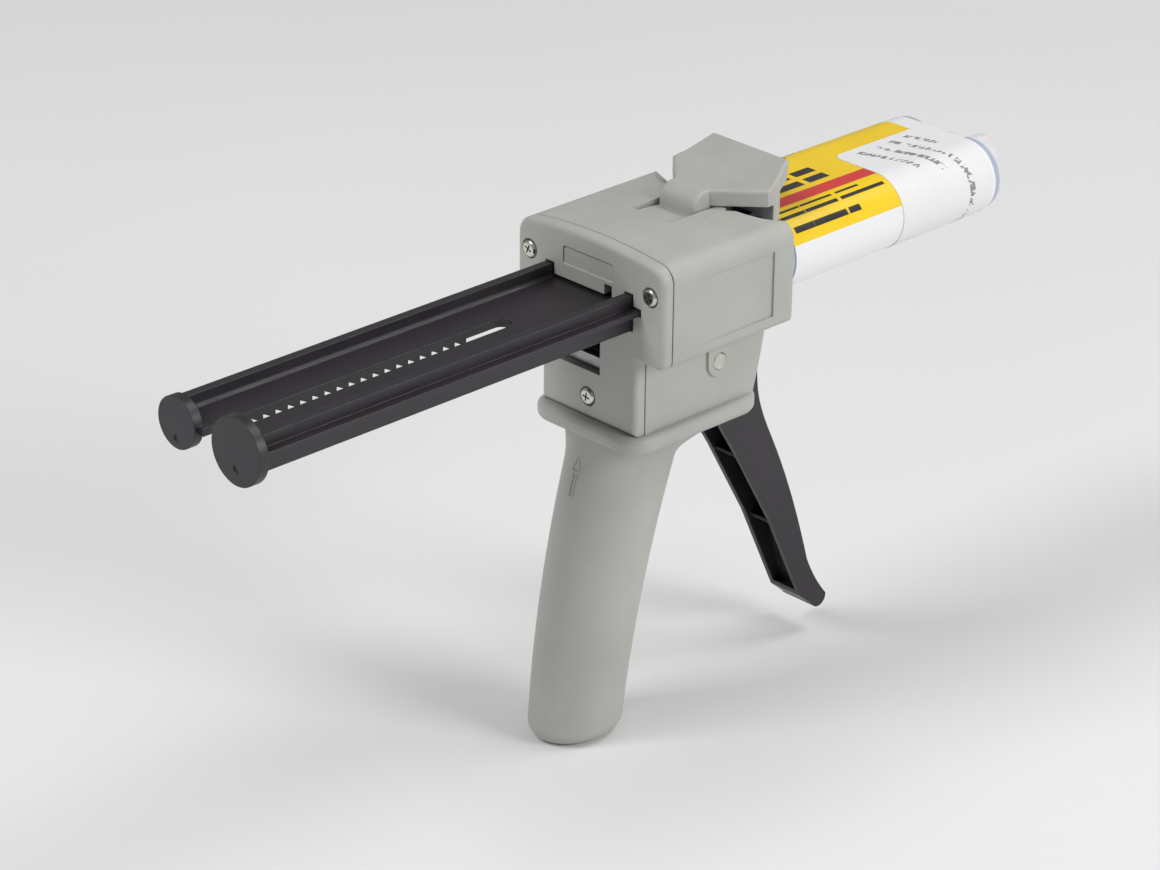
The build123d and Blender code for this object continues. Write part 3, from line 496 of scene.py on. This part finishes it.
class Wardrobe:
    """All finishes, built once, and put on the CAD nodes by their slots."""

    recipes: dict[Slot, Finish] = {
        Slot.GREY: MouldedPlastic("grey_body", (0.400, 0.405, 0.375), (0.50, 0.50, 0.47), 0.50, 0.00003),
        Slot.DARK: MouldedPlastic("dark_plastic", (0.019, 0.015, 0.020), (0.050, 0.045, 0.052), 0.42,
                                  0.00001, variation=0.12),
        Slot.NICKEL: WorkedMetal("nickel_screw", (0.66, 0.64, 0.60), (0.40, 0.37, 0.33), 0.20),
        Slot.PIN: WorkedMetal("pale_steel", (0.62, 0.60, 0.55), (0.42, 0.39, 0.34), 0.34),
        Slot.SPRING: WorkedMetal("spring_steel", (0.34, 0.34, 0.35), (0.18, 0.17, 0.17), 0.32),
        Slot.WHITE: MouldedPlastic("white_plastic", (0.72, 0.725, 0.735), (0.78, 0.78, 0.79), 0.34,
                                   0.000008, variation=0.03, see_depth=0.002),
        Slot.MILKY: MouldedPlastic("milky_plastic", (0.40, 0.44, 0.56), (0.52, 0.56, 0.66), 0.30,
                                   0.000008, variation=0.05, see_depth=0.003),
        Slot.LABEL: PrintedLabel(),
        Slot.STICKER: PaperSticker(),
    }

    def __init__(self) -> None:
        """Build every finish."""
        self.materials = {slot: recipe.build() for slot, recipe in self.recipes.items()}

    def dress(self, piece: bpy.types.Object, slot: Slot) -> None:
        """Give a new piece its only material.

        Args:
            piece: The piece.
            slot: The record's material slot.
        """
        piece.data.materials.clear()
        piece.data.materials.append(self.materials[slot])

    def dress_frame(self) -> int:
        """Put the finishes on all CAD nodes.

        Returns:
            How many nodes were dressed.
        """
        rows = FRAME["record"]["subparts"]
        for row in rows:
            node = FRAME["nodes"][row["node"]]
            for place in node.material_slots:
                place.material = self.materials[Slot(row["material_slot"])]
        return len(rows)


# ------------------------------------------------------------------ modelling
def start_clean() -> None:
    """Leave edit mode and deselect everything."""
    if bpy.context.mode != "OBJECT":
        bpy.ops.object.mode_set(mode="OBJECT")
    bpy.ops.object.select_all(action="DESELECT")


def take(piece: bpy.types.Object) -> None:
    """Make one object the only selected and active one.

    Args:
        piece: The object.
    """
    start_clean()
    piece.select_set(True)
    bpy.context.view_layer.objects.active = piece


def settle(piece: bpy.types.Object, sharp_angle: float = 35.0) -> None:
    """Put a piece's place into its mesh and shade it smooth up to an angle.

    Args:
        piece: The piece.
        sharp_angle: Edges sharper than this stay sharp, in degrees.
    """
    take(piece)
    bpy.ops.object.transform_apply(location=True, rotation=True, scale=True)
    bpy.ops.object.shade_smooth_by_angle(angle=math.radians(sharp_angle))


@dataclass
class CrossHeadScrews:
    """Three pan-head screws with a tapered cross recess that hold the rear cover."""

    wardrobe: Wardrobe
    head_radius: float = 0.00245
    head_tall: float = 0.0016
    shank_radius: float = 0.00145
    shank_long: float = 0.008
    arm_half: float = 0.00165
    arm_width: float = 0.00062
    recess_deep: float = 0.0012
    recess_taper: float = 0.55
    rim_share: float = 0.62
    rim_steps: int = 6
    first_turn: float = 25.0
    turn_step: float = 37.0
    sharp_angle: float = 30.0
    facets: int = 48

    def places(self) -> list[tuple[str, Vector]]:
        """Name each screw and find the middle of its outer face.

        Returns:
            Names and places, from the corners of the cover's screws in the frame.
        """
        low, high = (Vector(corner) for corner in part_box("cover_screws"))
        side = high.y - self.head_radius
        top = high.z - self.head_radius
        return [
            ("cover_screw_left", Vector((low.x, side, top))),
            ("cover_screw_right", Vector((low.x, -side, top))),
            ("cover_screw_low", Vector((low.x, 0.0, low.z + self.head_radius))),
        ]

    def head(self) -> bpy.types.Object:
        """Turn one head on its shank, face towards -X, with its rim rounded over.

        Returns:
            The head with its outer face at the origin.
        """
        start_clean()
        bpy.ops.mesh.primitive_cylinder_add(
            vertices=self.facets, radius=self.head_radius, depth=self.head_tall,
            location=(self.head_tall / 2, 0.0, 0.0), rotation=(0.0, -math.pi / 2, 0.0))
        screw = bpy.context.object
        bpy.ops.object.transform_apply(location=True, rotation=True, scale=True)
        bpy.ops.object.mode_set(mode="EDIT")
        bpy.ops.mesh.select_mode(type="FACE")
        bpy.ops.mesh.select_all(action="DESELECT")
        bpy.ops.object.mode_set(mode="OBJECT")
        back = max(screw.data.polygons, key=lambda face: face.center.x)
        back.select = True
        bpy.ops.object.mode_set(mode="EDIT")
        bpy.ops.mesh.inset(thickness=self.head_radius - self.shank_radius)
        bpy.ops.mesh.extrude_region_move(TRANSFORM_OT_translate={"value": (self.shank_long, 0.0, 0.0)})
        bpy.ops.mesh.select_all(action="DESELECT")
        bpy.ops.object.mode_set(mode="OBJECT")
        for edge in screw.data.edges:
            ends = [screw.data.vertices[i].co for i in edge.vertices]
            edge.select = all(end.x < 1e-6 for end in ends)
        bpy.ops.object.mode_set(mode="EDIT")
        bpy.ops.mesh.select_mode(type="EDGE")
        bpy.ops.mesh.bevel(offset=self.head_tall * self.rim_share, segments=self.rim_steps, profile=0.5)
        bpy.ops.object.mode_set(mode="OBJECT")
        return screw

    def recess(self) -> bpy.types.Object:
        """Make the cutter for the cross: two crossed blades that narrow inwards.

        Returns:
            The cutter, reaching through the head's outer face.
        """
        blades = []
        for wide, tall in ((self.arm_half, self.arm_width / 2), (self.arm_width / 2, self.arm_half)):
            start_clean()
            bpy.ops.mesh.primitive_cube_add(size=1.0)
            blade = bpy.context.object
            blade.scale = (2 * self.recess_deep, 2 * wide, 2 * tall)
            bpy.ops.object.transform_apply(location=True, rotation=True, scale=True)
            for vertex in blade.data.vertices:
                if vertex.co.x > 0:
                    vertex.co.y *= self.recess_taper
                    vertex.co.z *= self.recess_taper
            blades.append(blade)
        take(blades[0])
        self.boolean(blades[0], blades[1], "UNION")
        return blades[0]

    def boolean(self, body: bpy.types.Object, tool: bpy.types.Object, operation: str) -> None:
        """Join or cut one mesh with another and delete the tool.

        Args:
            body: Mesh that stays.
            tool: Mesh that is used up.
            operation: UNION or DIFFERENCE.
        """
        take(body)
        modifier = body.modifiers.new("shape", "BOOLEAN")
        modifier.object = tool
        modifier.operation = operation
        bpy.ops.object.modifier_apply(modifier=modifier.name)
        bpy.data.objects.remove(tool, do_unlink=True)

    def build(self) -> list[bpy.types.Object]:
        """Build the screws in place of the plain ones.

        Returns:
            The three screws.
        """
        first = self.head()
        self.boolean(first, self.recess(), "DIFFERENCE")
        screws = []
        for turn, (name, place) in enumerate(self.places()):
            screw = first.copy()
            screw.data = first.data.copy()
            bpy.context.scene.collection.objects.link(screw)
            screw.name = screw.data.name = name
            screw.rotation_euler = (math.radians(self.first_turn + self.turn_step * turn), 0.0, 0.0)
            screw.location = place
            settle(screw, self.sharp_angle)
            self.wardrobe.dress(screw, Slot.NICKEL)
            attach(screw, Body.GUN.value)
            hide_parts("cover_screws")
            screws.append(screw)
        bpy.data.objects.remove(first, do_unlink=True)
        return screws


# ------------------------------------------------------------------ studio
@dataclass
class Studio:
    """Pale floor, soft lamps and the long-lens camera."""

    camera_place: Point = (-0.7529, -0.7214, 0.4351)
    right: Point = (0.71796, -0.69600, 0.01074)
    up: Point = (0.28940, 0.31249, 0.90476)
    back: Point = (-0.63307, -0.64648, 0.42578)
    lens: float = 130.3
    sensor: float = 36.0
    aim: Point = (0.0, 0.0, -0.03)
    sky_strength: float = 0.30
    floor_size: float = 6.0
    floor_colour: Colour = (0.80, 0.80, 0.80)

    def build(self) -> None:
        """Set the camera, lamps, sky and floor."""
        self.set_camera()
        self.add_lamp("key", (-1.4, 0.5, 1.6), 0.9, 24.0)
        self.add_lamp("side", (0.5, -1.6, 0.7), 0.8, 17.0)
        self.add_lamp("rim", (1.0, -0.5, 1.7), 0.8, 11.0)
        world = bpy.data.worlds.new("studio_sky")
        world.use_nodes = True
        sky = world.node_tree.nodes["Background"]
        sky.inputs["Color"].default_value = (1.0, 1.0, 1.0, 1.0)
        sky.inputs["Strength"].default_value = self.sky_strength
        bpy.context.scene.world = world
        bpy.context.scene.view_settings.view_transform = "Standard"
        self.lay_floor()

    def set_camera(self) -> None:
        """Place the camera by its own axes."""
        data = bpy.data.cameras.new("camera")
        data.lens = self.lens
        data.sensor_width = self.sensor
        data.clip_start = 0.01
        camera = bpy.data.objects.new("camera", data)
        bpy.context.scene.collection.objects.link(camera)
        turn = Matrix((self.right, self.up, self.back)).transposed().to_4x4()
        camera.matrix_world = Matrix.Translation(self.camera_place) @ turn
        bpy.context.scene.camera = camera

    def add_lamp(self, name: str, place: Point, size: float, power: float) -> None:
        """Add a square soft lamp aimed at the tool.

        Args:
            name: Name of the lamp.
            place: Where it hangs.
            size: Side of its square.
            power: Watts.
        """
        data = bpy.data.lights.new(name, "AREA")
        data.size = size
        data.energy = power
        lamp = bpy.data.objects.new(name, data)
        bpy.context.scene.collection.objects.link(lamp)
        lamp.location = place
        towards = Vector(self.aim) - Vector(place)
        lamp.rotation_euler = towards.to_track_quat("-Z", "Y").to_euler()

    def lay_floor(self) -> None:
        """Lay a large pale floor under the foot of the grip."""
        bpy.ops.object.select_all(action="DESELECT")
        bpy.ops.mesh.primitive_plane_add(size=self.floor_size, location=(0.0, 0.0, CAD_BOX[0][2]))
        floor = bpy.context.object
        floor.name = "floor"
        board = NodeBoard("floor_paper")
        tone = board.spread(board.noise(3.0, 2.0), 0.3, 0.7, 0.0, 1.0)
        board.feed(board.shader.inputs["Base Color"],
                   board.blend(tone, tuple(c * 0.97 for c in self.floor_colour), self.floor_colour))
        board.shader.inputs["Roughness"].default_value = 0.85
        floor.data.materials.append(board.material)


def main() -> None:
    """Dress the frame, build the added pieces and set the studio."""
    logging.basicConfig(level=logging.INFO, format="%(name)s %(message)s")
    wardrobe = Wardrobe()
    LOG.info("dressed %d nodes", wardrobe.dress_frame())
    for screw in CrossHeadScrews(wardrobe).build():
        LOG.info("built %s with %d faces", screw.name, len(screw.data.polygons))
    Studio().build()


if __name__ == "__main__":
    main()
